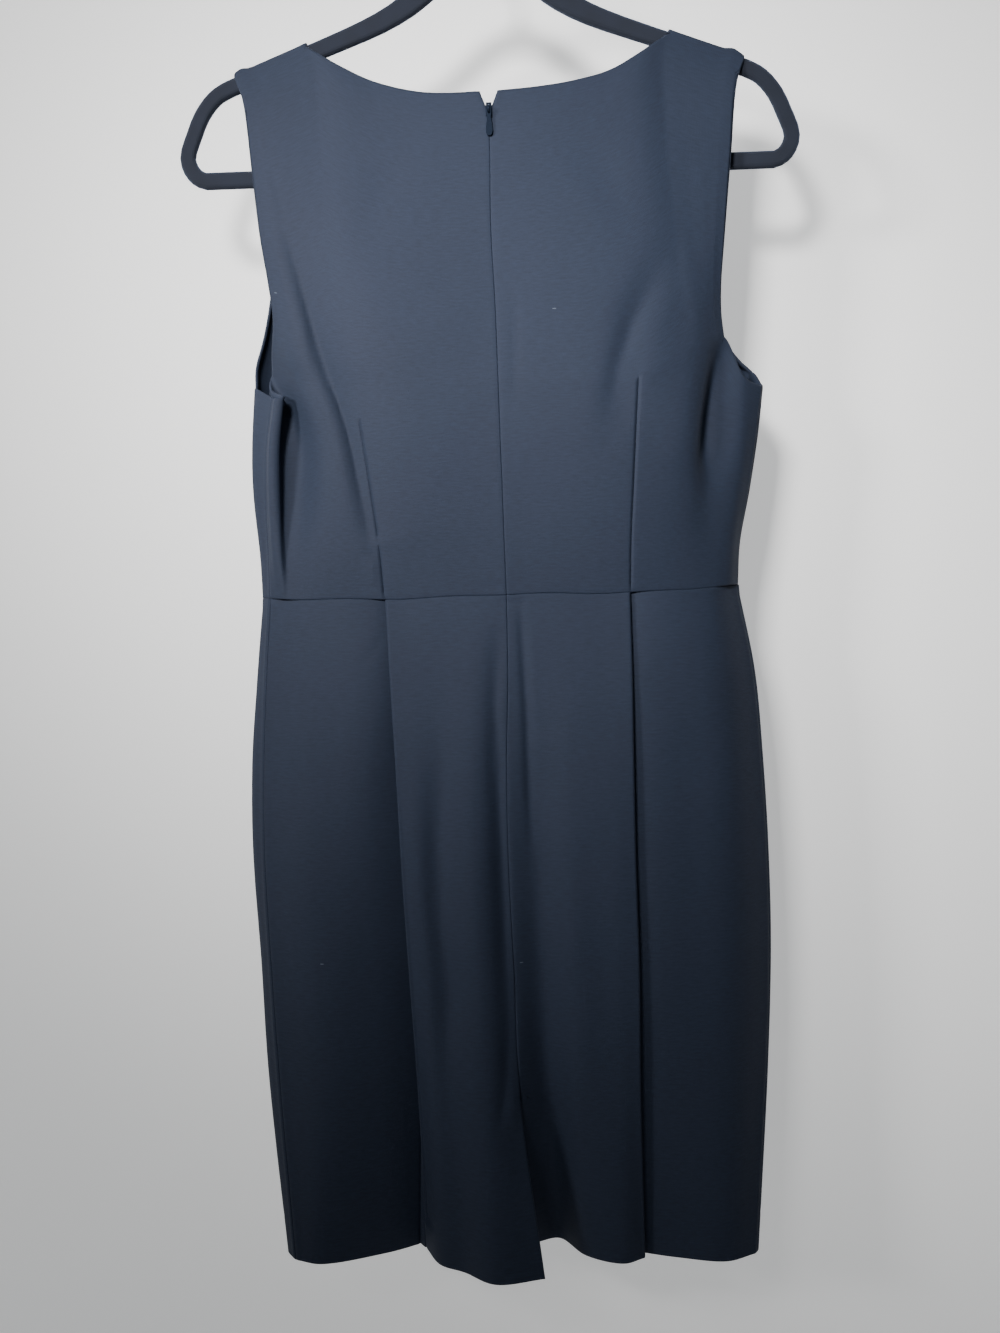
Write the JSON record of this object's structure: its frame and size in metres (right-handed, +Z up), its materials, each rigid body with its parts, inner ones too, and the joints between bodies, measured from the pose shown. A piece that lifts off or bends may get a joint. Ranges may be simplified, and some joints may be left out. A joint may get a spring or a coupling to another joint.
{
  "type": "sheath dress on a clothes hanger",
  "caption": "Sleeveless knee-length sheath dress with a wide boat neck, back zip, waist seam, pleated skirt and back vent, hung on a flat flocked clothes hanger.",
  "frame": {"origin": "inside top of the hanger's hook, where a rail carries it", "axes": "+Z up, +X to the right seen from the garment's back, -Y out of the back, which is the side with the zip and the vent"},
  "size_m": [0.445, 0.0983, 1.0069],
  "materials": {
    "knit": "matt navy double knit",
    "zip_tape": "matt navy woven tape",
    "zip_metal": "glossy dark enamel",
    "flock": "black flock on moulded plastic",
    "hook_wire": "bright plated steel wire"
  },
  "bodies": {
    "dress": {"bodice_back_left": "knit", "bodice_back_right": "knit", "bodice_front": "knit", "skirt_back_left": "knit", "skirt_back_right": "knit", "skirt_front": "knit", "zip_tape_left": "zip_tape", "zip_tape_right": "zip_tape", "zip_slider": "zip_metal", "hanger_frame": "flock", "hanger_hook": "hook_wire"},
    "pull_tab": {"zip_pull_tab": "zip_metal"}
  },
  "joints": [
    {"name": "pull_tab_hinge", "type": "hinge", "parent": "dress", "child": "pull_tab", "pos_m": [0.00192, -0.018, -0.2027], "axis": [-1, 0, 0], "range_deg": [0, 165]}
  ]
}
